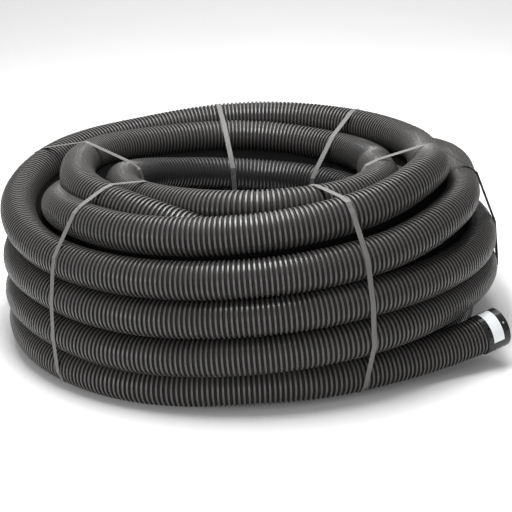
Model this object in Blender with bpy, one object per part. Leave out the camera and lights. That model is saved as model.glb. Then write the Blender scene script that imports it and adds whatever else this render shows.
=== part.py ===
"""Coil of black corrugated drainage pipe, lying flat, held by six flat straps.

The wound turns are one solid round the coil's open eye. Its section is drawn from the
turns that lie on the outside of the winding, and once round the coil every turn moves
one place along that section, as it does when pipe is wound. The free end leaves the
bottom turn in a straight line and carries a smooth push-on coupler.
"""
import math

import bmesh
import bpy
from mathutils import Matrix, Vector

# The pipe, in metres
PIPE_OD = 0.080
PIPE_WALL = 0.0008
RIB_DEPTH = 0.0036
RIB_PITCH = 0.0107
RIB_FLAT_SHARE = 0.28
RIB_SLOPE_SHARE = 0.22

# Lay of each turn in sight, in pipe diameters: (radius, height above the bottom layer)
# of its centre every 30 degrees from the left (-180) past the front (-90), the right (0)
# and the back (90). A turn ends where the one listed before it starts.
LAY = {
    "bottom": ((6.60, 0.00), (6.62, 0.00), (6.55, 0.02), (6.30, 0.09), (6.25, 0.07),
               (5.95, 0.01), (5.80, 0.00), (5.74, 0.00), (5.70, 0.00), (5.70, 0.00),
               (5.70, 0.00), (5.70, 0.00)),
    "second": ((6.64, 0.80), (6.66, 0.97), (6.65, 0.94), (6.64, 1.11), (6.64, 1.26),
               (6.44, 1.16), (6.50, 0.88), (6.56, 0.68), (6.56, 0.47), (6.58, 0.24),
               (6.60, 0.08), (6.62, 0.00)),
    "third": ((6.62, 1.83), (6.62, 1.97), (6.60, 1.97), (6.60, 2.13), (6.60, 2.27),
              (6.55, 2.19), (6.40, 1.95), (6.54, 1.70), (6.60, 1.48), (6.62, 1.25),
              (6.64, 1.08), (6.66, 0.90)),
    "fourth": ((6.60, 3.19), (6.50, 2.94), (6.45, 2.96), (6.45, 3.11), (6.40, 3.29),
               (6.18, 3.51), (5.92, 3.33), (6.50, 2.99), (6.62, 2.48), (6.62, 2.26),
               (6.64, 2.10), (6.64, 1.96)),
    "top": ((5.30, 3.21), (5.70, 3.74), (5.90, 3.91), (5.90, 4.09), (5.78, 4.31),
            (5.45, 4.49), (4.95, 3.94), (5.58, 3.56), (6.30, 3.40), (6.45, 3.46),
            (6.46, 3.36), (6.54, 3.42)),
    "groove": ((4.87, 3.99), (4.95, 4.15), (5.00, 3.99), (5.15, 3.44), (5.15, 3.24),
               (4.90, 3.09), (4.50, 2.91), (4.80, 2.54), (5.50, 2.11), (5.62, 2.09),
               (5.64, 2.19), (5.50, 2.54)),
    "inner top": ((3.62, 3.59), (3.75, 3.84), (4.05, 4.06), (4.68, 4.29), (4.60, 4.22),
                  (4.05, 4.05), (3.52, 3.74), (4.20, 3.25), (5.15, 2.97), (5.44, 3.13),
                  (5.42, 3.29), (5.25, 3.64)),
    "eye": ((3.75, 2.59), (3.80, 2.87), (3.90, 3.04), (3.95, 3.19), (3.95, 3.14),
            (3.80, 2.99), (3.60, 2.67), (3.80, 2.27), (3.98, 2.21), (4.00, 2.33),
            (4.00, 2.63), (3.93, 3.11)),
    "wall": ((3.85, 1.60), (3.88, 1.88), (3.92, 2.08), (3.95, 2.16), (3.92, 2.08),
             (3.86, 1.95), (4.10, 1.86), (4.70, 1.72), (4.90, 1.72), (4.92, 1.80),
             (4.80, 2.00), (4.30, 2.25)),
}
# Lower turns, down the eye and back under the coil: where each starts, in the same
# measure, and between which angles it moves to where the turn before it started
LOW_TURNS = (((3.85, 0.80), -20.0, 170.0), ((3.90, 0.00), -60.0, 60.0),
             ((4.75, 0.00), -60.0, 80.0), ((5.70, 0.00), -69.0, 60.0))
LAY_STEPS = 12
LAY_PITCH = 360.0 / LAY_STEPS
SECTIONS = 60
ARC_POINTS = 5
VALLEY_SHARE = 0.08
GROOVE_SHARE = 0.45
BLEND_SHARE = 0.30

# The free end: it leaves the bottom turn, bends gently and rises towards its coupler
LEAVE_ANGLE = -69.0
LEAVE_LEG = 0.198
END_LEG = 0.147
END_SWING = 27.0
END_RISE = 9.5
FREE_END_BURIED = 0.105
BORE_DEPTH = 0.200
BORE_STEPS = 8
END_SIDES = 16

# The push-on coupler
COUPLER_LENGTH = 0.056
COUPLER_WALL = 0.0022
COUPLER_CLEARANCE = 0.0004
COUPLER_STOP_DEPTH = 0.0035
COUPLER_STOP_WIDTH = 0.003
COUPLER_SIDES = 32
LUG_WINDOWS = 4
LUG_WINDOW_WIDTH = 0.0045
LUG_WINDOW_LENGTH = 0.0045
LUG_INSET = 0.0085
LUG_TURN = 45.0
STOP_GAP = 0.0003

# The straps
STRAP_WIDTH = 0.012
STRAP_THICKNESS = 0.0006
STRAP_GAP = 0.0006
# Where each strap crosses the outside and the eye, in degrees: some lie aslant
STRAP_LINES = ((-138.0, -138.0), (-66.0, -71.0), (-3.0, -27.0), (58.0, 58.0),
               (98.5, 98.5), (157.0, 163.0))

PIPE_R = PIPE_OD / 2
FLOOR_LIFT = STRAP_THICKNESS + STRAP_GAP
FREE_END_LENGTH = LEAVE_LEG + END_LEG
OUTSIDE_R = LAY["second"][0][0] * PIPE_OD
EYE_R = LAY["wall"][0][0] * PIPE_OD


def clear_scene():
    for item in list(bpy.data.objects):
        bpy.data.objects.remove(item, do_unlink=True)


def make_material(name, colour, roughness):
    material = bpy.data.materials.new(name)
    material.use_nodes = True
    shader = material.node_tree.nodes["Principled BSDF"]
    shader.inputs["Base Color"].default_value = (*colour, 1.0)
    shader.inputs["Roughness"].default_value = roughness
    shader.inputs["Metallic"].default_value = 0.0
    return material


def add_object(name, bm, material, smooth=True):
    mesh = bpy.data.meshes.new(name)
    bmesh.ops.recalc_face_normals(bm, faces=bm.faces[:])
    bm.to_mesh(mesh)
    bm.free()
    mesh.materials.append(material)
    if smooth:
        mesh.shade_smooth()
        mesh.set_sharp_from_angle(angle=math.radians(35))
    thing = bpy.data.objects.new(name, mesh)
    bpy.context.scene.collection.objects.link(thing)
    return thing


def smooth_step(value):
    value = min(1.0, max(0.0, value))
    return value * value * (3.0 - 2.0 * value)


def low_lay(index):
    """Lay of a turn low in the eye or under the coil."""
    start, move_from, move_to = LOW_TURNS[index]
    end = LOW_TURNS[index - 1][0] if index else LAY["wall"][0]
    lay = []
    for step in range(LAY_STEPS):
        angle = -180.0 + step * LAY_PITCH
        share = smooth_step((angle - move_from) / (move_to - move_from))
        lay.append(tuple(a * (1 - share) + b * share for a, b in zip(start, end)))
    return tuple(lay)


TURNS = list(LAY.values()) + [low_lay(index) for index in range(len(LOW_TURNS))]


def turn_centre(turn, angle):
    """Centre (radius, height) of one turn at an angle from -180 to 180 degrees, on a
    smooth curve through its lay and on into the turns before and after it."""
    step = (angle + 180.0) / LAY_PITCH
    first = min(int(step), LAY_STEPS - 1)
    share = step - first
    knots = []
    for index in range(first - 1, first + 3):
        row = turn - index // LAY_STEPS
        knots.append(Vector(TURNS[row % len(TURNS)][index % LAY_STEPS]))
    before, here, there, after = knots
    curve = (here * 2 + (there - before) * share
             + (before * 2 - here * 5 + there * 4 - after) * share ** 2
             + (here * 3 - before - there * 3 + after) * share ** 3) / 2
    curve.y = max(curve.y, 0.0)
    return curve * PIPE_OD + Vector((0.0, FLOOR_LIFT + PIPE_R))


def turn_centres(angle):
    """Centres of the turns on the section, from the outer bottom turn up the outside,
    over the top, down the eye and back along the floor. Where a turn dives under its
    neighbours only the floor of the groove between them is kept."""
    centres = [turn_centre(turn, angle) for turn in range(len(TURNS))]
    shown = []
    for index, centre in enumerate(centres):
        before = centres[index - 1]
        after = centres[(index + 1) % len(centres)]
        along = (after - before).normalized()
        outward = Vector((along.y, -along.x))
        floor = (before + after) / 2 - outward * GROOVE_SHARE * PIPE_OD
        share = smooth_step((floor - centre).dot(outward) / (BLEND_SHARE * PIPE_OD))
        shown.append(centre * (1 - share) + floor * share)
    return shown


def section_outline(angle):
    """Closed outline round the outside of the turns, scalloped turn by turn. A valley
    lies where two turns meet, and just outside the line of centres where they don't."""
    centres = turn_centres(angle)
    count = len(centres)
    valleys = []
    for index in range(count):
        here = centres[index]
        there = centres[(index + 1) % count]
        along = (there - here).normalized()
        outward = Vector((along.y, -along.x))
        meeting = math.sqrt(max(0.0, PIPE_R ** 2 - (there - here).length_squared / 4))
        valleys.append((here + there) / 2 + outward * max(meeting, VALLEY_SHARE * PIPE_R))
    outline = []
    for index in range(count):
        centre = centres[index]
        before = valleys[index - 1] - centre
        after = valleys[index] - centre
        start = math.atan2(before.y, before.x)
        sweep = (math.atan2(after.y, after.x) - start) % (2 * math.pi)
        for step in range(1, ARC_POINTS + 1):
            turn = start + sweep * step / (ARC_POINTS + 1)
            outline.append(centre + PIPE_R * Vector((math.cos(turn), math.sin(turn))))
        outline.append(valleys[index])
    return outline


def at_angle(point, angle):
    turn = math.radians(angle)
    return Vector((point[0] * math.cos(turn), point[0] * math.sin(turn), point[1]))


def make_winding():
    bm = bmesh.new()
    rings = []
    for index in range(SECTIONS):
        angle = -180.0 + 360.0 * index / SECTIONS
        rings.append([bm.verts.new(at_angle(p, angle)) for p in section_outline(angle)])
    points = len(rings[0])
    for index in range(SECTIONS):
        here = rings[index]
        there = rings[(index + 1) % SECTIONS]
        shift = -(ARC_POINTS + 1) if index == SECTIONS - 1 else 0
        for k in range(points):
            bm.faces.new((here[k], here[(k + 1) % points],
                          there[(k + 1 + shift) % points], there[(k + shift) % points]))
    return bm


def free_end_frame(distance):
    """Centre and directions of the free end at a distance from where it leaves."""
    turn = math.radians(LEAVE_ANGLE)
    swing = math.radians(END_SWING)
    rise = math.radians(END_RISE)
    start = at_angle(turn_centre(0, LEAVE_ANGLE), LEAVE_ANGLE)
    bend = start + Vector((-math.sin(turn), math.cos(turn), 0.0)) * LEAVE_LEG
    end = bend + END_LEG * Vector((math.cos(swing) * math.cos(rise),
                                   math.sin(swing) * math.cos(rise), math.sin(rise)))
    share = distance / FREE_END_LENGTH
    along = ((bend - start) * (1 - share) + (end - bend) * share).normalized()
    side = Vector((-along.y, along.x, 0.0)).normalized()
    matrix = Matrix((side, along.cross(side), along)).transposed().to_4x4()
    matrix.translation = (start * (1 - share) ** 2 + bend * 2 * share * (1 - share)
                          + end * share ** 2)
    return matrix


def rib_profile(start, end, crest, root):
    """Points (distance, radius) of the corrugation between two distances."""
    flat = RIB_PITCH * RIB_FLAT_SHARE
    slope = RIB_PITCH * RIB_SLOPE_SHARE
    profile = [(start, root)]
    at = start + flat / 2
    while at + 2 * slope + flat * 1.5 <= end:
        profile += [(at, root), (at + slope, crest), (at + slope + flat, crest),
                    (at + 2 * slope + flat, root)]
        at += RIB_PITCH
    profile.append((end, root))
    return profile


def make_turned(profile, sides, closed_loop):
    """Turn a (distance, radius) profile round the local Z axis."""
    bm = bmesh.new()
    verts = [bm.verts.new((radius, 0.0, distance)) for distance, radius in profile]
    pairs = list(zip(verts, verts[1:]))
    if closed_loop:
        pairs.append((verts[-1], verts[0]))
    edges = [bm.edges.new(pair) for pair in pairs]
    bmesh.ops.spin(bm, geom=verts + edges, cent=(0, 0, 0), axis=(0, 0, 1),
                   angle=2 * math.pi, steps=sides, use_merge=True, use_duplicate=False)
    bmesh.ops.remove_doubles(bm, verts=bm.verts[:], dist=0.00001)
    return bm


def make_free_end():
    """The free end as a blind corrugated tube, open at its mouth, bent to its path."""
    root = PIPE_R - RIB_DEPTH
    outer = rib_profile(FREE_END_BURIED, FREE_END_LENGTH, PIPE_R, root)
    bore = [(FREE_END_LENGTH - BORE_DEPTH * step / BORE_STEPS, root - PIPE_WALL)
            for step in range(BORE_STEPS + 1)]
    profile = [(0.0, 0.0), (0.0, root)] + outer + bore + [(bore[-1][0], 0.0)]
    bm = make_turned(profile, END_SIDES, closed_loop=False)
    for vert in bm.verts:
        across = Vector((vert.co.x, vert.co.y, 0.0))
        vert.co = free_end_frame(vert.co.z) @ across
    return bm


def make_pipe(material):
    winding = add_object("pipe", make_winding(), material)
    free_end = add_object("free_end_tool", make_free_end(), material)
    free_end.hide_render = True
    free_end.display_type = "WIRE"
    union = winding.modifiers.new("free end", "BOOLEAN")
    union.operation = "UNION"
    union.solver = "EXACT"
    union.object = free_end
    return winding


def make_coupler(material):
    """Smooth sleeve with a stop ring half way and a row of lug windows near each rim."""
    inner = PIPE_R + COUPLER_CLEARANCE
    outer = inner + COUPLER_WALL
    stop = inner - COUPLER_STOP_DEPTH
    middle = COUPLER_LENGTH / 2
    half_stop = COUPLER_STOP_WIDTH / 2
    bevel = COUPLER_WALL * 0.3
    profile = [
        (bevel, outer), (0.0, outer - bevel), (0.0, inner), (middle - half_stop, inner),
        (middle - half_stop, stop), (middle + half_stop, stop), (middle + half_stop, inner),
        (COUPLER_LENGTH, inner), (COUPLER_LENGTH, outer - bevel),
        (COUPLER_LENGTH - bevel, outer)]
    coupler = add_object("coupler", make_turned(profile, COUPLER_SIDES, True), material)
    windows = add_object("lug_window_tool", make_lug_windows((inner + outer) / 2), material)
    windows.hide_render = True
    windows.display_type = "WIRE"
    cut = coupler.modifiers.new("lug windows", "BOOLEAN")
    cut.operation = "DIFFERENCE"
    cut.solver = "EXACT"
    cut.object = windows
    place = free_end_frame(FREE_END_LENGTH) @ Matrix.Translation(
        (0, 0, half_stop + STOP_GAP - middle))
    for thing in (coupler, windows):
        thing.data.transform(place)
    return coupler


def make_lug_windows(radius):
    """Cutting blocks for the windows, each square on the middle of a facet."""
    bm = bmesh.new()
    size = Matrix.Diagonal((COUPLER_WALL * 4, LUG_WINDOW_WIDTH, LUG_WINDOW_LENGTH, 1.0))
    for index in range(LUG_WINDOWS):
        turn = (math.radians(LUG_TURN) + math.pi / COUPLER_SIDES
                + 2 * math.pi * index / LUG_WINDOWS)
        for distance in (LUG_INSET, COUPLER_LENGTH - LUG_INSET):
            place = (Matrix.Rotation(turn, 4, "Z")
                     @ Matrix.Translation((radius, 0.0, distance)) @ size)
            bmesh.ops.create_cube(bm, size=1.0, matrix=place)
    return bm


def hull(points):
    """Convex outline, counter-clockwise."""
    ordered = sorted(points)
    chain = []
    for sweep in (ordered, ordered[::-1]):
        part = []
        for point in sweep:
            while len(part) > 1 and cross(part[-2], part[-1], point) <= 1e-9:
                part.pop()
            part.append(point)
        chain += part[:-1]
    return chain


def cross(a, b, c):
    return (b[0] - a[0]) * (c[1] - a[1]) - (b[1] - a[1]) * (c[0] - a[0])


def offset(outline, distance):
    """Move a convex counter-clockwise outline outwards, with mitred corners."""
    moved = []
    count = len(outline)
    for k in range(count):
        here = Vector(outline[k])
        before = (here - Vector(outline[k - 1])).normalized()
        after = (Vector(outline[(k + 1) % count]) - here).normalized()
        normal = Vector((before.y + after.y, -before.x - after.x)).normalized()
        moved.append(here + normal * distance / normal.dot(Vector((after.y, -after.x))))
    return moved


def strap_frame(outside_angle, eye_angle):
    """Frame of a strap: X outwards from the eye along its line, Y across its width."""
    eye = at_angle((EYE_R, 0.0), eye_angle)
    along = (at_angle((OUTSIDE_R, 0.0), outside_angle) - eye).normalized()
    frame = Matrix((along, (-along.y, along.x, 0.0), (0.0, 0.0, 1.0))).transposed().to_4x4()
    frame.translation = eye
    return frame


def winding_runs():
    """Straight runs on the winding's skin: the edges and both diagonals of its faces,
    and the line under each turn. At 180 degrees the rings meet the first one again."""
    rings = []
    for index in range(SECTIONS + 1):
        angle = -180.0 + 360.0 * index / SECTIONS
        unders = [c - Vector((0.0, PIPE_R)) for c in turn_centres(angle)]
        rings.append([[at_angle(point, angle) for point in points]
                      for points in (section_outline(angle), unders)])
    runs = []
    for (skin, unders), (next_skin, next_unders) in zip(rings, rings[1:]):
        runs += zip(unders, next_unders)
        for k, point in enumerate(skin):
            runs += [(point, skin[k - 1]), (point, next_skin[k]),
                     (point, next_skin[k - 1]), (skin[k - 1], next_skin[k])]
    return runs


def strap_contact(frame, runs):
    """Points (along the line, height) of the winding under a strap's width."""
    local = frame.inverted()
    points = []
    for run in runs:
        a, b = (local @ end for end in run)
        if min(a.x, b.x) < -EYE_R:
            continue
        if abs(a.y) < STRAP_WIDTH / 2:
            points.append((a.x, a.z))
        for side in (-STRAP_WIDTH / 2, STRAP_WIDTH / 2):
            if (a.y - side) * (b.y - side) < 0:
                crossing = a.lerp(b, (side - a.y) / (b.y - a.y))
                points.append((crossing.x, crossing.z))
    return points


def make_strap(name, frame, runs, material):
    inner = offset(hull(strap_contact(frame, runs)), STRAP_GAP)
    outer = offset(inner, STRAP_THICKNESS)
    half = STRAP_WIDTH / 2
    bm = bmesh.new()
    rings = []
    for low, high in zip(inner, outer):
        corners = ((low, -half), (high, -half), (high, half), (low, half))
        rings.append([bm.verts.new(frame @ Vector((p.x, side, p.y))) for p, side in corners])
    for here, there in zip(rings, rings[1:] + rings[:1]):
        for j in range(4):
            bm.faces.new((here[j], here[(j + 1) % 4], there[(j + 1) % 4], there[j]))
    return add_object(name, bm, material, smooth=False)


def centre_on_floor(pieces):
    """Shift every mesh so that the pieces' box stands centred over the origin."""
    bpy.context.view_layer.update()
    corners = [Vector(corner) for piece in pieces for corner in piece.bound_box]
    middle = [(min(c[k] for c in corners) + max(c[k] for c in corners)) / 2 for k in (0, 1)]
    move = Matrix.Translation((-middle[0], -middle[1], 0.0))
    for thing in bpy.data.objects:
        thing.data.transform(move)


def main():
    clear_scene()
    pipe_black = make_material("pipe_black", (0.022, 0.022, 0.023), 0.45)
    coupler_black = make_material("coupler_black", (0.03, 0.03, 0.031), 0.35)
    strap_grey = make_material("strap_grey", (0.62, 0.63, 0.63), 0.4)
    pieces = [make_pipe(pipe_black), make_coupler(coupler_black)]
    runs = winding_runs()
    for index, line in enumerate(STRAP_LINES):
        name = f"strap_{index + 1}"
        pieces.append(make_strap(name, strap_frame(*line), runs, strap_grey))
    centre_on_floor(pieces)


main()
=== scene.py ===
# %% [markdown]
# # A coil of corrugated drainage pipe
#
# The object is one long length of black corrugated plastic pipe, wound into a flat coil
# and held by six bands. Its free end lies out at the front right and carries a smooth
# push-on coupler with a blank white label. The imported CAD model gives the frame: its
# straps and its coupler stay, and the ribbed pipe made here stands for its plain winding.

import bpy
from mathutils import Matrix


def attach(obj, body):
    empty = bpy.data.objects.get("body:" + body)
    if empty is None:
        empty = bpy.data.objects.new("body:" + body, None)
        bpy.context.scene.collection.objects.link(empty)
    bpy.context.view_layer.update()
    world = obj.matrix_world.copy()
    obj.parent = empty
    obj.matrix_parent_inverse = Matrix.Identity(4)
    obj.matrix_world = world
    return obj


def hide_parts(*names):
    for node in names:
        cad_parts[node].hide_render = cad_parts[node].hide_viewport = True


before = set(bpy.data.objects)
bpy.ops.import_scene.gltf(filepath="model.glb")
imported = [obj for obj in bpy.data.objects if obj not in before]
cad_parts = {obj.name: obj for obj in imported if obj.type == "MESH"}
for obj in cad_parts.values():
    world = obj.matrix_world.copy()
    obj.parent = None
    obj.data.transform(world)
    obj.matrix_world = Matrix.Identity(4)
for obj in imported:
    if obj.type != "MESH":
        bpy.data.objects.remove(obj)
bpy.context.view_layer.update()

# %% Tools of this lesson
import math

import bmesh
import bpy
import numpy as np
from mathutils import Matrix, Quaternion, Vector

print("Blender", bpy.app.version_string)

# %% [markdown]
# ## The camera
#
# A product photograph of something this wide is taken from a few metres away with a long
# lens, so that near and far turns come out almost the same size. The camera could be
# placed by eye, but counting pipe diameters in the picture gives its height, its distance
# and its slight tilt directly. Everything is measured from a point inside the coil, and
# the coil's own axis stands a few millimetres off the middle of the model's box.

# %% Camera
PIPE_OD = 0.080
COIL_SHIFT = Vector((0.0036, 0.0006, 0.0))
LOOK_AT = Vector((0.0056, 0.0, 0.136)) + COIL_SHIFT
CAMERA_DISTANCE = 3.76
CAMERA_ELEVATION = math.radians(21.3)
CAMERA_ROLL = math.radians(2.2)
SENSOR_WIDTH = 36.0
FOCAL_SHARE = 3.176

backward = Vector((0.0, -math.cos(CAMERA_ELEVATION), math.sin(CAMERA_ELEVATION)))
camera = bpy.data.objects.new("camera", bpy.data.cameras.new("camera"))
bpy.context.scene.collection.objects.link(camera)
camera.data.sensor_width = SENSOR_WIDTH
camera.data.lens = SENSOR_WIDTH * FOCAL_SHARE
camera.location = LOOK_AT + backward * CAMERA_DISTANCE
camera.rotation_mode = "QUATERNION"
camera.rotation_quaternion = ((-backward).to_track_quat("-Z", "Y")
                              @ Quaternion((0.0, 0.0, 1.0), -CAMERA_ROLL))
bpy.context.scene.camera = camera
print("camera lens in mm:", round(camera.data.lens, 1))

# %% [markdown]
# ## Tools for the finishes
#
# Plastic, paper and strapping are never one flat colour: tone, gloss and fine relief all
# drift a little from place to place. Painted pictures could show that, but noise in the
# material has no edges and no fixed size, and it follows the object from every side. The
# finishes below all need the same few nodes, so each gets a short helper.

# %% Node helpers
def node_material(name):
    """A new material with its node tree and its Principled shader."""
    material = bpy.data.materials.new(name)
    material.use_nodes = True
    return material, material.node_tree, material.node_tree.nodes["Principled BSDF"]


def add_node(tree, kind, **settings):
    """A node with its settings made."""
    node = tree.nodes.new(kind)
    for key, value in settings.items():
        setattr(node, key, value)
    return node


def object_coordinates(tree):
    """Places in metres, fixed to the object."""
    return add_node(tree, "ShaderNodeTexCoord").outputs["Object"]


def noise_on(tree, vector, scale, detail, roughness):
    """A Noise texture that reads the given coordinates."""
    noise = add_node(tree, "ShaderNodeTexNoise")
    noise.inputs["Scale"].default_value = scale
    noise.inputs["Detail"].default_value = detail
    noise.inputs["Roughness"].default_value = roughness
    tree.links.new(vector, noise.inputs["Vector"])
    return noise.outputs["Fac"]


def map_value(tree, value, low, high, from_low=0.0, from_high=1.0):
    """Value moved from one range to another and clamped there."""
    node = add_node(tree, "ShaderNodeMapRange")
    node.inputs["From Min"].default_value = from_low
    node.inputs["From Max"].default_value = from_high
    node.inputs["To Min"].default_value = low
    node.inputs["To Max"].default_value = high
    tree.links.new(value, node.inputs["Value"])
    return node.outputs["Result"]


def combine(tree, operation, first, second, use_clamp=False):
    """Two values put together by one Math node."""
    node = add_node(tree, "ShaderNodeMath", operation=operation, use_clamp=use_clamp)
    tree.links.new(first, node.inputs[0])
    tree.links.new(second, node.inputs[1])
    return node.outputs[0]


print("helpers for values: noise, ranges and sums")

# %% [markdown]
# ## Tools for colour and relief
#
# A Mix node keeps its colours on its sockets 6 and 7, whatever they are called on screen.
# Relief finer than a tenth of a millimetre would need millions of faces, so a Bump node
# only tilts the light there and leaves the outline alone.

# %% Colour and relief helpers
COLOUR_A, COLOUR_B, COLOUR_RESULT = 6, 7, 2


def grey(value):
    """A colour without a tint."""
    return value, value, value


def mix_colours(tree, share, first, second):
    """A colour between two, each given as numbers or as a node's output."""
    node = add_node(tree, "ShaderNodeMix", data_type="RGBA")
    tree.links.new(share, node.inputs["Factor"])
    for socket, colour in ((node.inputs[COLOUR_A], first), (node.inputs[COLOUR_B], second)):
        if isinstance(colour, tuple):
            socket.default_value = (*colour, 1.0)
        else:
            tree.links.new(colour, socket)
    return node.outputs[COLOUR_RESULT]


def add_bump(tree, shader, height, strength, distance):
    """Fine relief for a shader."""
    bump = add_node(tree, "ShaderNodeBump")
    bump.inputs["Strength"].default_value = strength
    bump.inputs["Distance"].default_value = distance
    tree.links.new(height, bump.inputs["Height"])
    tree.links.new(bump.outputs["Normal"], shader.inputs["Normal"])


print("helpers for colour and relief: grey, mix and bump")

# %% [markdown]
# ## The floor
#
# The coil was photographed on white. A pale floor of almost the same white does that here:
# it is large enough to fill the picture, nearly matt, and throws light back up under the
# coil. A hint of uneven tone keeps it from looking computed.

# %% Floor
FLOOR_HALF = 9.0
FLOOR_ROUGHNESS = 0.7
FLOOR_SPECULAR = 0.2

floor_material, tree, shader = node_material("floor_pale")
grain = noise_on(tree, object_coordinates(tree), scale=3.0, detail=3.0, roughness=0.5)
tree.links.new(mix_colours(tree, grain, grey(0.93), grey(0.96)),
               shader.inputs["Base Color"])
shader.inputs["Roughness"].default_value = FLOOR_ROUGHNESS
shader.inputs["Specular IOR Level"].default_value = FLOOR_SPECULAR

bm = bmesh.new()
bmesh.ops.create_grid(bm, x_segments=1, y_segments=1, size=FLOOR_HALF)
floor_mesh = bpy.data.meshes.new("floor")
bm.to_mesh(floor_mesh)
bm.free()
floor_mesh.materials.append(floor_material)
floor = bpy.data.objects.new("floor", floor_mesh)
bpy.context.scene.collection.objects.link(floor)
print("floor in metres:", 2 * FLOOR_HALF, "square")

# %% [markdown]
# ## The light
#
# Black plastic shows its shape almost only by what it reflects. Two soft boxes above the
# coil draw the bright line along the top of every turn, weaker ones at the left and in
# front give the grey on their faces, and one at the back lights the pale floor. Small
# lamps would put sparkling dots on every rib, so there are only large ones, in a room
# dim enough to leave the gaps between the turns black.

# %% Soft boxes
ROOM_BRIGHTNESS = 0.35
SOFT_BOXES = (
    # name, place, what it is aimed at, width and height, watts
    ("soft_box_top", (-0.1, 0.9, 2.4), (0.0, 0.0, 0.3), (2.2, 1.5), 60.0),
    ("soft_box_over", (-0.1, -0.4, 2.0), (0.0, -0.4, 0.3), (1.2, 0.6), 43.0),
    ("soft_box_left", (-3.2, -2.4, 0.9), (0.0, -0.3, 0.2), (1.8, 1.2), 36.0),
    ("soft_box_front", (0.0, -3.8, 0.75), (0.0, 0.0, 0.2), (3.0, 1.2), 33.0),
    ("soft_box_back", (0.0, 4.2, 2.6), (0.0, 3.6, 0.0), (5.0, 2.0), 45.0),
)


def area_light(name, place, target, size, power):
    """A flat rectangular lamp that faces its target."""
    lamp = bpy.data.lights.new(name, "AREA")
    lamp.shape = "RECTANGLE"
    lamp.size, lamp.size_y = size
    lamp.energy = power
    light = bpy.data.objects.new(name, lamp)
    light.location = place
    light.rotation_mode = "QUATERNION"
    light.rotation_quaternion = (Vector(target) - Vector(place)).to_track_quat("-Z", "Y")
    bpy.context.scene.collection.objects.link(light)


world = bpy.data.worlds.new("studio")
world.use_nodes = True
background = world.node_tree.nodes["Background"]
background.inputs["Color"].default_value = (1.0, 1.0, 1.0, 1.0)
background.inputs["Strength"].default_value = ROOM_BRIGHTNESS
bpy.context.scene.world = world
bpy.context.scene.view_settings.view_transform = "Standard"

for soft_box in SOFT_BOXES:
    area_light(*soft_box)

# %% [markdown]
# ## The way the pipe is wound
#
# Pipe is wound turn by turn: once round the coil, every turn has moved one place along
# the winding's section, up the outside, over the top and down into the eye. The table
# gives the centre of each turn in sight every 30 degrees from the left of the coil, as
# radius and height in pipe diameters. These are the same places as in the CAD source, so
# the ribbed pipe lies exactly where the plain winding does.

# %% Lay of the turns in sight
LAY = {
    "bottom": ((6.60, 0.00), (6.62, 0.00), (6.55, 0.02), (6.30, 0.09), (6.25, 0.07),
               (5.95, 0.01), (5.80, 0.00), (5.74, 0.00), (5.70, 0.00), (5.70, 0.00),
               (5.70, 0.00), (5.70, 0.00)),
    "second": ((6.64, 0.80), (6.66, 0.97), (6.65, 0.94), (6.64, 1.11), (6.64, 1.26),
               (6.44, 1.16), (6.50, 0.88), (6.56, 0.68), (6.56, 0.47), (6.58, 0.24),
               (6.60, 0.08), (6.62, 0.00)),
    "third": ((6.62, 1.83), (6.62, 1.97), (6.60, 1.97), (6.60, 2.13), (6.60, 2.27),
              (6.55, 2.19), (6.40, 1.95), (6.54, 1.70), (6.60, 1.48), (6.62, 1.25),
              (6.64, 1.08), (6.66, 0.90)),
    "fourth": ((6.60, 3.19), (6.50, 2.94), (6.45, 2.96), (6.45, 3.11), (6.40, 3.29),
               (6.18, 3.51), (5.92, 3.33), (6.50, 2.99), (6.62, 2.48), (6.62, 2.26),
               (6.64, 2.10), (6.64, 1.96)),
    "top": ((5.30, 3.21), (5.70, 3.74), (5.90, 3.91), (5.90, 4.09), (5.78, 4.31),
            (5.45, 4.49), (4.95, 3.94), (5.58, 3.56), (6.30, 3.40), (6.45, 3.46),
            (6.46, 3.36), (6.54, 3.42)),
    "groove": ((4.87, 3.99), (4.95, 4.15), (5.00, 3.99), (5.15, 3.44), (5.15, 3.24),
               (4.90, 3.09), (4.50, 2.91), (4.80, 2.54), (5.50, 2.11), (5.62, 2.09),
               (5.64, 2.19), (5.50, 2.54)),
    "inner top": ((3.62, 3.59), (3.75, 3.84), (4.05, 4.06), (4.68, 4.29), (4.60, 4.22),
                  (4.05, 4.05), (3.52, 3.74), (4.20, 3.25), (5.15, 2.97), (5.44, 3.13),
                  (5.42, 3.29), (5.25, 3.64)),
    "eye": ((3.75, 2.59), (3.80, 2.87), (3.90, 3.04), (3.95, 3.19), (3.95, 3.14),
            (3.80, 2.99), (3.60, 2.67), (3.80, 2.27), (3.98, 2.21), (4.00, 2.33),
            (4.00, 2.63), (3.93, 3.11)),
    "wall": ((3.85, 1.60), (3.88, 1.88), (3.92, 2.08), (3.95, 2.16), (3.92, 2.08),
             (3.86, 1.95), (4.10, 1.86), (4.70, 1.72), (4.90, 1.72), (4.92, 1.80),
             (4.80, 2.00), (4.30, 2.25)),
}
LAY_STEPS = 12
LAY_PITCH = 360.0 / LAY_STEPS
print("turns in sight:", len(LAY))

# %% [markdown]
# ## The turns low in the eye and under the coil
#
# These turns can hardly be seen, so they need no table of their own. Each stays in one
# place for part of the way round and moves over to the next place in one smooth stretch.
# For each there is only its place on the left of the coil, and the two angles between
# which it moves.

# %% Lay of the low turns
LOW_TURNS = (((3.85, 0.80), -20.0, 170.0), ((3.90, 0.00), -60.0, 60.0),
             ((4.75, 0.00), -60.0, 80.0), ((5.70, 0.00), -69.0, 60.0))
LOW_NAMES = ["wall_low", "wall_foot", "floor_inner", "floor_outer"]


def smooth_step(value):
    """0 up to 0, 1 from 1 on, and a soft rise between."""
    value = min(1.0, max(0.0, value))
    return value * value * (3.0 - 2.0 * value)


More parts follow.
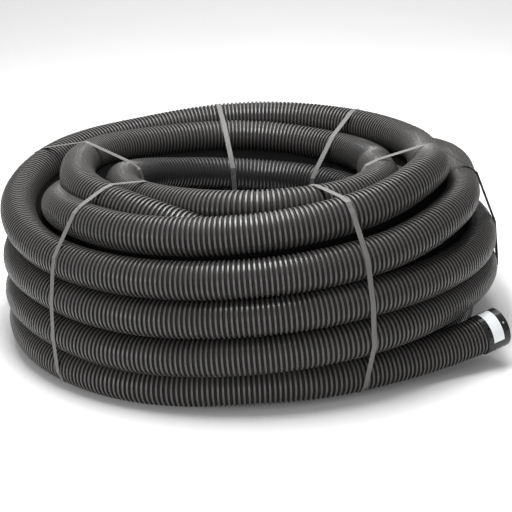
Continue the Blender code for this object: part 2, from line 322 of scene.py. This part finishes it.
def low_lay(index):
    """Lay of a turn low in the eye or under the coil."""
    start, move_from, move_to = LOW_TURNS[index]
    end = LOW_TURNS[index - 1][0] if index else LAY["wall"][0]
    lay = []
    for step in range(LAY_STEPS):
        angle = -180.0 + step * LAY_PITCH
        share = smooth_step((angle - move_from) / (move_to - move_from))
        lay.append(tuple(a * (1 - share) + b * share for a, b in zip(start, end)))
    return tuple(lay)


TURNS = list(LAY.values()) + [low_lay(index) for index in range(len(LOW_TURNS))]
TURN_NAMES = [name.replace(" ", "_") for name in LAY] + LOW_NAMES
print("turns in the winding's skin:", len(TURNS))

# %% [markdown]
# ## From the table to places
#
# Pipe has no corners, so a smooth curve has to run through the places of the table. It
# could be a Bezier curve with handles set by hand. A curve worked out from four places at
# a time needs no handles, passes through each of them and runs on by itself from the end
# of one turn into the start of the next. The coil lies just above the floor, on the
# straps that pass under it.

# %% Smooth curve through the lay
PIPE_R = PIPE_OD / 2
FLOOR_LIFT = 0.0012


def turn_centre(turn, angle):
    """Centre (radius, height) of one turn at an angle from -180 to 180 degrees."""
    step = (angle + 180.0) / LAY_PITCH
    first = min(int(step), LAY_STEPS - 1)
    share = step - first
    knots = []
    for index in range(first - 1, first + 3):
        row = turn - index // LAY_STEPS
        knots.append(Vector(TURNS[row % len(TURNS)][index % LAY_STEPS]))
    before, here, there, after = knots
    curve = (here * 2 + (there - before) * share
             + (before * 2 - here * 5 + there * 4 - after) * share ** 2
             + (here * 3 - before - there * 3 + after) * share ** 3) / 2
    curve.y = max(curve.y, 0.0)
    return curve * PIPE_OD + Vector((0.0, FLOOR_LIFT + PIPE_R))


def at_angle(point, angle):
    """A place of the section, turned to its angle round the coil."""
    turn = math.radians(angle)
    return COIL_SHIFT + Vector((point[0] * math.cos(turn), point[0] * math.sin(turn),
                                point[1]))


left_end = at_angle(turn_centre(0, -180.0), -180.0)
print("bottom turn at the left:", [round(value, 3) for value in left_end])

# %% [markdown]
# ## The free end
#
# The end of the pipe was pulled out of the coil before it was strapped. It leaves the
# bottom turn at the front along a straight line, bends gently out to the right and rises
# a little. A curve with one bend point has just that shape, and its direction at each
# place also tells how the coupler and the label stand.

# %% Line of the free end
LEAVE_ANGLE = -69.0
LEAVE_LEG = 0.198
END_LEG = 0.147
END_SWING = 27.0
END_RISE = 9.5
FREE_END_LENGTH = LEAVE_LEG + END_LEG


def free_end_frame(distance):
    """Centre and directions of the free end at a distance from where it leaves."""
    turn = math.radians(LEAVE_ANGLE)
    swing = math.radians(END_SWING)
    rise = math.radians(END_RISE)
    start = at_angle(turn_centre(0, LEAVE_ANGLE), LEAVE_ANGLE)
    bend = start + Vector((-math.sin(turn), math.cos(turn), 0.0)) * LEAVE_LEG
    end = bend + END_LEG * Vector((math.cos(swing) * math.cos(rise),
                                   math.sin(swing) * math.cos(rise), math.sin(rise)))
    share = distance / FREE_END_LENGTH
    along = ((bend - start) * (1 - share) + (end - bend) * share).normalized()
    side = Vector((-along.y, along.x, 0.0)).normalized()
    matrix = Matrix((side, along.cross(side), along)).transposed().to_4x4()
    matrix.translation = (start * (1 - share) ** 2 + bend * 2 * share * (1 - share)
                          + end * share ** 2)
    return matrix


print("tip of the pipe:", [round(c, 3) for c in free_end_frame(FREE_END_LENGTH).translation])

# %% [markdown]
# ## One route for the whole pipe
#
# The pipe is one piece of stock, so its centre line is one line too. It starts under the
# coil, passes through all thirteen turns of the skin and leaves the bottom turn at the
# front for the free end. Points every one and a half degrees are close enough that no
# corner shows. The first quarter of a metre is kept in beside the free end, where the real
# coil's inner turns lie.

# %% Points of the route
ROUTE_STEP = 1.5
START_INSET = 1.0
START_CLEAR = -38.0
END_POINTS = 40


def turn_points(turn, first, last):
    """Points of one turn's centre line between two angles."""
    count = round((last - first) / ROUTE_STEP)
    points = []
    for step in range(count):
        angle = first + step * ROUTE_STEP
        centre = turn_centre(turn, angle)
        if turn == 0 and angle >= LEAVE_ANGLE and first > -180.0:
            inset = 1 - smooth_step((angle - LEAVE_ANGLE) / (START_CLEAR - LEAVE_ANGLE))
            centre.x -= START_INSET * PIPE_OD * inset
        points.append(at_angle(centre, angle))
    return points


route_points = turn_points(0, LEAVE_ANGLE, 180.0)
turn_starts = {"floor_start": 0}
for turn in range(len(TURNS) - 1, 0, -1):
    turn_starts[TURN_NAMES[turn]] = len(route_points)
    route_points += turn_points(turn, -180.0, 180.0)
turn_starts["bottom"] = len(route_points)
route_points += turn_points(0, -180.0, LEAVE_ANGLE)
route_points += [free_end_frame(FREE_END_LENGTH * step / END_POINTS).translation
                 for step in range(END_POINTS + 1)]
print("points of the route:", len(route_points))

# %% [markdown]
# ## Lengths and directions along the route
#
# To carry a straight pipe on to the route, each point of the route has to know how much
# pipe lies before it, and which way is along, sideways and up. Towards the coupler the
# pipe was pushed together, so a little more pipe than route lies on the last stretch, and
# the ribs stand closer there.

# %% Lengths and directions
SQUEEZED_LENGTH = 0.25
SQUEEZE = 0.028

route = np.array([tuple(point) for point in route_points])
steps = np.linalg.norm(np.diff(route, axis=0), axis=1)
route_at = np.concatenate(([0.0], np.cumsum(steps)))
free_share = np.clip(1 - (route_at[-1] - route_at) / SQUEEZED_LENGTH, 0.0, 1.0)
pipe_at = route_at + SQUEEZE * free_share ** 2
along = np.gradient(route, route_at, axis=0)
along /= np.linalg.norm(along, axis=1, keepdims=True)
side = np.stack([-along[:, 1], along[:, 0], np.zeros(len(along))], axis=1)
side /= np.linalg.norm(side, axis=1, keepdims=True)
rise = np.cross(along, side)
print("pipe in sight in metres:", round(float(pipe_at[-1]), 2))

# %% [markdown]
# ## The corrugation
#
# The wall of the pipe is a row of rings: a narrow valley, two steep flanks and a broad
# crest with soft shoulders, every 10 mm. It could be a bump in the material, but then
# the outline of the coil would be smooth, and in the picture it is plainly toothed. So a
# few points draw the profile, as shares of the pitch and of the depth, and spin turns it
# into a straight length of pipe. Turns that are hardly seen get a plainer rib.

# %% Straight corrugated pipe
RIB_PITCH = 0.0100
RIB_DEPTH = 0.0036
ROOT_R = PIPE_R - RIB_DEPTH
FINE_RIB = ((0.21, 0.0), (0.27, 0.76), (0.34, 1.0), (0.66, 1.0), (0.73, 0.76), (0.79, 0.0))
PLAIN_RIB = ((0.22, 0.0), (0.31, 1.0), (0.69, 1.0), (0.78, 0.0))
FINE_SIDES = 24
PLAIN_SIDES = 16
MERGE_DISTANCE = 0.00001


def rib_profile(ribs, shape):
    """Outline of a row of ribs as (distance, radius), from valley to valley."""
    profile = [(0.0, ROOT_R)]
    for rib in range(ribs):
        profile += [((rib + share) * RIB_PITCH, ROOT_R + depth * RIB_DEPTH)
                    for share, depth in shape]
    profile.append((ribs * RIB_PITCH, ROOT_R))
    return profile


def turned(profile, sides):
    """A (distance, radius) profile turned round the Z axis."""
    bm = bmesh.new()
    verts = [bm.verts.new((radius, 0.0, distance)) for distance, radius in profile]
    edges = [bm.edges.new(pair) for pair in zip(verts, verts[1:])]
    bmesh.ops.spin(bm, geom=verts + edges, cent=(0, 0, 0), axis=(0, 0, 1),
                   angle=2 * math.pi, steps=sides, use_merge=True, use_duplicate=False)
    bmesh.ops.remove_doubles(bm, verts=bm.verts[:], dist=MERGE_DISTANCE)
    bmesh.ops.recalc_face_normals(bm, faces=bm.faces[:])
    return bm


print("points of one rib:", len(FINE_RIB), "or", len(PLAIN_RIB))

# %% [markdown]
# ## From straight pipe to wound pipe
#
# Each point of the straight pipe is carried to its place along the route. A Curve modifier
# could do that too, but not with ribs that close up towards the end. The straight
# coordinates stay on the mesh as an attribute, so that a pattern can follow the pipe round
# the coil. Every new piece rides on the one body and takes one finish made here.

# %% Carry a mesh along the route
def finish_mesh(name, bm, sharp_angle):
    """The mesh of a bmesh, smooth but for edges sharper than the angle in degrees."""
    mesh = bpy.data.meshes.new(name)
    bm.to_mesh(mesh)
    bm.free()
    mesh.shade_smooth()
    mesh.set_sharp_from_angle(angle=math.radians(sharp_angle))
    return mesh


def lay_on_route(mesh, start):
    """Carry a straight length of pipe to its place on the route."""
    straight = np.empty(len(mesh.vertices) * 3)
    mesh.vertices.foreach_get("co", straight)
    straight = straight.reshape(-1, 3)
    straight[:, 2] += start
    at = straight[:, 2]
    columns = [np.stack([np.interp(at, pipe_at, table[:, k]) for k in range(3)], axis=1)
               for table in (route, side, rise)]
    placed = columns[0] + columns[1] * straight[:, :1] + columns[2] * straight[:, 1:2]
    mesh.vertices.foreach_set("co", placed.ravel())
    attribute = mesh.attributes.new("straight", "FLOAT_VECTOR", "POINT")
    attribute.data.foreach_set("vector", straight.ravel())
    mesh.update()


def add_piece(name, mesh, material):
    """A new piece of the dressed coil."""
    mesh.materials.clear()
    mesh.materials.append(material)
    piece = bpy.data.objects.new(name, mesh)
    bpy.context.scene.collection.objects.link(piece)
    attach(piece, "root")
    return piece


print("route from", route[0].round(3), "to", route[-1].round(3))

# %% [markdown]
# ## Where shade is painted
#
# Little light gets deep into the eye, so the turns there are painted near black as painted
# shade, and so are the valleys between the ribs. Both are questions of distance from an
# axis:
# the pipe's own for the valleys, and the coil's for the eye, together with the height above
# the floor. One helper measures that distance, and the other says how open a place lies.

# %% Shares of shelter
SHELTER_R, OPEN_R = 0.27, 0.40
SHELTER_Z, OPEN_Z = 0.28, 0.41
CREST_FROM = ROOT_R + 0.60 * RIB_DEPTH
CREST_FULL = PIPE_R - 0.1 * RIB_DEPTH


def distance_from_axis(tree, vector):
    """Length of a vector without its part along Z."""
    level = add_node(tree, "ShaderNodeVectorMath", operation="MULTIPLY")
    level.inputs[1].default_value = (1.0, 1.0, 0.0)
    tree.links.new(vector, level.inputs[0])
    length = add_node(tree, "ShaderNodeVectorMath", operation="LENGTH")
    tree.links.new(level.outputs["Vector"], length.inputs[0])
    return length.outputs["Value"]


def open_share(tree):
    """1 out in the open, falling to 0 deep in the eye of the coil, where shade is painted.
    """
    place = object_coordinates(tree)
    height = add_node(tree, "ShaderNodeSeparateXYZ")
    tree.links.new(place, height.inputs[0])
    by_radius = map_value(tree, distance_from_axis(tree, place), 0.0, 1.0,
                          from_low=SHELTER_R, from_high=OPEN_R)
    by_height = map_value(tree, height.outputs["Z"], 0.0, 1.0,
                          from_low=SHELTER_Z, from_high=OPEN_Z)
    return combine(tree, "MAXIMUM", by_radius, by_height)


print("crest from mm:", round(CREST_FROM * 1000, 2), "to", round(CREST_FULL * 1000, 2))

# %% [markdown]
# ## The colour of the pipe
#
# The pipe is extruded from black polyethylene: satin, a little waxy, never mirror bright.
# The crests have the plastic's own dark grey, while the valleys and the lower flanks of the
# ribs are painted near black as painted shade. Dust settles in patches on whatever faces up.
# The patches are noise on the straight coordinates, so they follow the pipe and don't slide
# through the coil.

# %% Pipe colour
# painted shade of the valleys between the ribs
VALLEY_PAINTED_SHADE = grey(0.0012)
CREST_GREY = (0.059, 0.0552, 0.0528)
DUST_GREY = (0.058, 0.0542, 0.0518)
# painted shade of the pipe deep in the eye
EYE_PAINTED_SHADE = grey(0.003)

pipe_black, tree, shader = node_material("pipe_black_satin")
straight_node = add_node(tree, "ShaderNodeAttribute", attribute_name="straight")
straight_vector = straight_node.outputs["Vector"]
crest = map_value(tree, distance_from_axis(tree, straight_vector), 0.0, 1.0,
                  from_low=CREST_FROM, from_high=CREST_FULL)
patches = noise_on(tree, straight_vector, scale=14.0, detail=3.0, roughness=0.55)

up_share = add_node(tree, "ShaderNodeSeparateXYZ")
normal = add_node(tree, "ShaderNodeNewGeometry").outputs["Normal"]
tree.links.new(normal, up_share.inputs[0])
faces_up = map_value(tree, up_share.outputs["Z"], 0.0, 1.0, from_low=0.2, from_high=1.0)
dust_lies = map_value(tree, patches, 0.0, 0.4, from_low=0.38, from_high=0.75)
dust = combine(tree, "MULTIPLY", faces_up, dust_lies)

# Valleys and lower rib flanks darkened to near black: painted shade.
body = mix_colours(tree, crest, VALLEY_PAINTED_SHADE, CREST_GREY)
dust_and_painted_shade = mix_colours(tree, dust, body, DUST_GREY)
# Deep in the eye of the coil the colour falls to near black: painted shade.
tree.links.new(mix_colours(tree, open_share(tree), EYE_PAINTED_SHADE, dust_and_painted_shade),
               shader.inputs["Base Color"])
print("nodes for the colour:", len(tree.nodes))

# %% [markdown]
# ## The gloss of the pipe
#
# The gloss changes a little along the pipe, because each mould block chills the plastic
# differently, and faint streaks run along it. The streaks are noise on coordinates that
# are squeezed along the pipe, which draws it out. Valleys are matt, and a very fine grain
# breaks the highlights.

# %% Pipe gloss and grain
STREAK_SQUEEZE = 0.12
MATT_VALLEY = 0.55
PIPE_SPECULAR = 0.5

stretch = add_node(tree, "ShaderNodeMapping")
stretch.inputs["Scale"].default_value = (1.0, 1.0, STREAK_SQUEEZE)
tree.links.new(straight_vector, stretch.inputs["Vector"])
streaks = noise_on(tree, stretch.outputs["Vector"], scale=160.0, detail=3.0, roughness=0.6)

streaky = map_value(tree, streaks, -0.05, 0.05, from_low=0.3, from_high=0.7)
patchy = map_value(tree, patches, 0.29, 0.38, from_low=0.3, from_high=0.7)
rubbed = combine(tree, "ADD", streaky, patchy)
matt = map_value(tree, crest, MATT_VALLEY, 0.0)
rough = combine(tree, "ADD", rubbed, matt, use_clamp=True)
tree.links.new(rough, shader.inputs["Roughness"])
shader.inputs["Specular IOR Level"].default_value = PIPE_SPECULAR

grain = noise_on(tree, straight_vector, scale=1400.0, detail=2.0, roughness=0.6)
add_bump(tree, shader, grain, strength=0.06, distance=0.0002)
print("pipe material nodes:", len(tree.nodes))

# %% [markdown]
# ## The turns
#
# One mesh for the whole pipe would have about 800,000 triangles, so each turn is a piece
# of its own. They are cut in the middle of a valley, where the ring of one piece meets the
# same ring of the next, and no seam shows. The last piece ends in the coupler, and its
# profile turns back inside to show the wall and the bore.

# %% Make the turns
FINE_TURNS = ("wall", "eye", "inner_top", "groove", "top", "fourth", "third", "second",
              "bottom")
PIPE_WALL = 0.0008
BORE_SHOWN = 0.06
PIPE_SHARP_ANGLE = 50

first_rib = 0
names = list(turn_starts)
total_ribs = int(pipe_at[-1] / RIB_PITCH)
rib_offset = float(pipe_at[-1]) - total_ribs * RIB_PITCH
for number, name in enumerate(names):
    if number + 1 < len(names):
        end_distance = pipe_at[turn_starts[names[number + 1]]]
        next_rib = round((end_distance - rib_offset) / RIB_PITCH)
    else:
        next_rib = total_ribs
    fine = name in FINE_TURNS
    profile = rib_profile(next_rib - first_rib, FINE_RIB if fine else PLAIN_RIB)
    if name == "bottom":
        length = profile[-1][0]
        profile += [(length, ROOT_R - PIPE_WALL), (length - BORE_SHOWN, ROOT_R - PIPE_WALL)]
    bm = turned(profile, FINE_SIDES if fine else PLAIN_SIDES)
    mesh = finish_mesh("pipe_" + name, bm, PIPE_SHARP_ANGLE)
    lay_on_route(mesh, rib_offset + first_rib * RIB_PITCH)
    add_piece("pipe_" + name, mesh, pipe_black)
    first_rib = next_rib
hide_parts("pipe")

# %% [markdown]
# ## The depth between the turns
#
# Behind the skin of the coil lie more turns, packed so close that the eye sees only black
# between them. Modelling them would cost millions of faces for nothing. A plain ring
# behind the centres of the visible turns closes the gaps instead. Its section goes from
# centre to centre, drawn in a little, and where a turn lies in a groove behind its
# neighbours, it steps back behind that turn too.

# %% Section of the dark ring
CORE_INSET = 0.12
GROOVE_SHARE = 0.45
BLEND_SHARE = 0.30


def core_outline(angle):
    """Section of the ring at an angle round the coil, one point behind each turn."""
    centres = [turn_centre(turn, angle) for turn in range(len(TURNS))]
    outline = []
    for index, centre in enumerate(centres):
        before = centres[index - 1]
        after = centres[(index + 1) % len(centres)]
        along_skin = (after - before).normalized()
        outward = Vector((along_skin.y, -along_skin.x))
        groove = (before + after) / 2 - outward * GROOVE_SHARE * PIPE_OD
        share = smooth_step((groove - centre).dot(outward) / (BLEND_SHARE * PIPE_OD))
        place = centre * (1 - share) + groove * share - outward * CORE_INSET * PIPE_OD
        outline.append(place)
    return outline


print("points of the section:", len(core_outline(0.0)))

# %% [markdown]
# ## The dark ring
#
# The ring stands for pipe in deep shadow, so it is almost black, quite matt and without
# any shine. It is made by bridging each section to the next, and the last to the first.

# %% Dark ring behind the turns
CORE_SECTIONS = 72
CORE_SHARP_ANGLE = 60

core_black, tree, shader = node_material("shadow_black")
cloud = noise_on(tree, object_coordinates(tree), scale=60.0, detail=3.0, roughness=0.5)
tree.links.new(mix_colours(tree, cloud, grey(0.004), grey(0.006)),
               shader.inputs["Base Color"])
tree.links.new(map_value(tree, cloud, 0.85, 1.0), shader.inputs["Roughness"])
shader.inputs["Specular IOR Level"].default_value = 0.0

bm = bmesh.new()
loops = []
for section in range(CORE_SECTIONS):
    angle = -180.0 + 360.0 * section / CORE_SECTIONS
    verts = [bm.verts.new(at_angle(place, angle)) for place in core_outline(angle)]
    loops.append([bm.edges.new(pair) for pair in zip(verts, verts[1:] + verts[:1])])
for here, there in zip(loops, loops[1:] + loops[:1]):
    bmesh.ops.bridge_loops(bm, edges=here + there)
bmesh.ops.recalc_face_normals(bm, faces=bm.faces[:])
core_mesh = finish_mesh("winding_core", bm, CORE_SHARP_ANGLE)
add_piece("winding_core", core_mesh, core_black)
print("dark ring faces:", len(core_mesh.polygons))

# %% [markdown]
# ## The coupler
#
# The sleeve on the free end is injection moulded: smooth, a little glossier than the pipe,
# with fine scuffs from handling. Its shape is right in the CAD model, so only its finish
# is made here. The same fine noise that breaks the gloss also gives the scuffs their
# relief.

# %% Coupler finish
COUPLER_SPECULAR = 0.3

coupler_black, tree, shader = node_material("coupler_black_smooth")
coordinates = object_coordinates(tree)
scuffs = noise_on(tree, coordinates, scale=220.0, detail=5.0, roughness=0.65)
clouds = noise_on(tree, coordinates, scale=30.0, detail=2.0, roughness=0.5)
tree.links.new(mix_colours(tree, clouds, grey(0.010), grey(0.016)),
               shader.inputs["Base Color"])
tree.links.new(map_value(tree, scuffs, 0.22, 0.36, from_low=0.3, from_high=0.7),
               shader.inputs["Roughness"])
add_bump(tree, shader, scuffs, strength=0.08, distance=0.0002)
shader.inputs["Specular IOR Level"].default_value = COUPLER_SPECULAR
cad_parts["coupler"].material_slots[0].material = coupler_black
print("coupler material nodes:", len(tree.nodes))

# %% [markdown]
# ## The label's paper
#
# Label paper is a cool white. Its fibres break the gloss and give a relief too fine to
# feel, and its tone drifts a little over a few centimetres.

# %% Paper finish
label_paper, tree, shader = node_material("label_paper")
coordinates = object_coordinates(tree)
fibres = noise_on(tree, coordinates, scale=900.0, detail=4.0, roughness=0.6)
tone = noise_on(tree, coordinates, scale=40.0, detail=2.0, roughness=0.5)
tree.links.new(mix_colours(tree, tone, (0.66, 0.69, 0.70), (0.72, 0.745, 0.755)),
               shader.inputs["Base Color"])
tree.links.new(map_value(tree, fibres, 0.38, 0.55), shader.inputs["Roughness"])
add_bump(tree, shader, fibres, strength=0.05, distance=0.0001)
print("paper material nodes:", len(tree.nodes))

# %% [markdown]
# ## The label
#
# A white paper label is wrapped round the upper front of the coupler. It is left blank.
# A short line is spun part of the way round the coupler's axis, solidify gives the sheet
# the thickness of paper, and the whole is moved to where the coupler stands.

# %% Blank label
COUPLER_LENGTH = 0.056
COUPLER_CLEARANCE = 0.0004
COUPLER_WALL = 0.0022
COUPLER_OUTER = PIPE_R + COUPLER_CLEARANCE + COUPLER_WALL
COUPLER_HALF_STOP = 0.0015
COUPLER_STOP_GAP = 0.0003
LABEL_FROM, LABEL_TO = math.radians(72.0), math.radians(189.0)
LABEL_START, LABEL_WIDTH = 0.0130, 0.0262
LABEL_STEPS = 40
LABEL_ROWS = 6
LABEL_SHARP_ANGLE = 40
PAPER = 0.00012

bm = bmesh.new()
paper_r = COUPLER_OUTER + PAPER
verts = [bm.verts.new((paper_r * math.cos(LABEL_FROM), paper_r * math.sin(LABEL_FROM),
                       LABEL_START + LABEL_WIDTH * row / LABEL_ROWS))
         for row in range(LABEL_ROWS + 1)]
edges = [bm.edges.new(pair) for pair in zip(verts, verts[1:])]
bmesh.ops.spin(bm, geom=verts + edges, cent=(0, 0, 0), axis=(0, 0, 1),
               angle=LABEL_TO - LABEL_FROM, steps=LABEL_STEPS, use_duplicate=False)
for face in bm.faces:
    face.normal_update()
    if face.normal.dot(Vector((*face.calc_center_median().xy, 0.0))) < 0:
        face.normal_flip()
bmesh.ops.solidify(bm, geom=bm.faces[:], thickness=PAPER)

coupler_place = free_end_frame(FREE_END_LENGTH) @ Matrix.Translation(
    (0, 0, COUPLER_HALF_STOP + COUPLER_STOP_GAP - COUPLER_LENGTH / 2))
bm.transform(coupler_place)
label_mesh = finish_mesh("coupler_label", bm, LABEL_SHARP_ANGLE)
add_piece("coupler_label", label_mesh, label_paper)
print("label faces:", len(label_mesh.polygons))

# %% [markdown]
# ## The straps
#
# The bands are flat polypropylene strapping, pale grey, with a fine embossed grid that
# keeps them from slipping. Their shape and place come from the CAD model; the finish adds
# the grid, a little dirt and a soft gloss. Where they go down into the eye their colour is
# darkened as painted shade, like the turns around them.

# %% Strap finish
GRID_SCALE = 700.0
# painted shade of the straps deep in the eye
STRAP_EYE_PAINTED_SHADE = (0.035, 0.034, 0.033)

strap_grey, tree, shader = node_material("strap_grey_embossed")
coordinates = object_coordinates(tree)
dirt = noise_on(tree, coordinates, scale=25.0, detail=4.0, roughness=0.6)
soiled = mix_colours(tree, dirt, (0.095, 0.093, 0.090), (0.140, 0.137, 0.133))
# Deep in the eye the strap colour falls to dark grey: painted shade.
tree.links.new(mix_colours(tree, open_share(tree), STRAP_EYE_PAINTED_SHADE, soiled),
               shader.inputs["Base Color"])
tree.links.new(map_value(tree, dirt, 0.50, 0.65, from_low=0.3, from_high=0.7),
               shader.inputs["Roughness"])
emboss = add_node(tree, "ShaderNodeTexVoronoi", distance="CHEBYCHEV")
emboss.inputs["Scale"].default_value = GRID_SCALE
emboss.inputs["Randomness"].default_value = 0.0
tree.links.new(coordinates, emboss.inputs["Vector"])
add_bump(tree, shader, emboss.outputs["Distance"], strength=0.15, distance=0.0002)

straps = [node for name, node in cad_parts.items() if name.startswith("strap_")]
for strap in straps:
    strap.material_slots[0].material = strap_grey
print("straps:", len(straps))
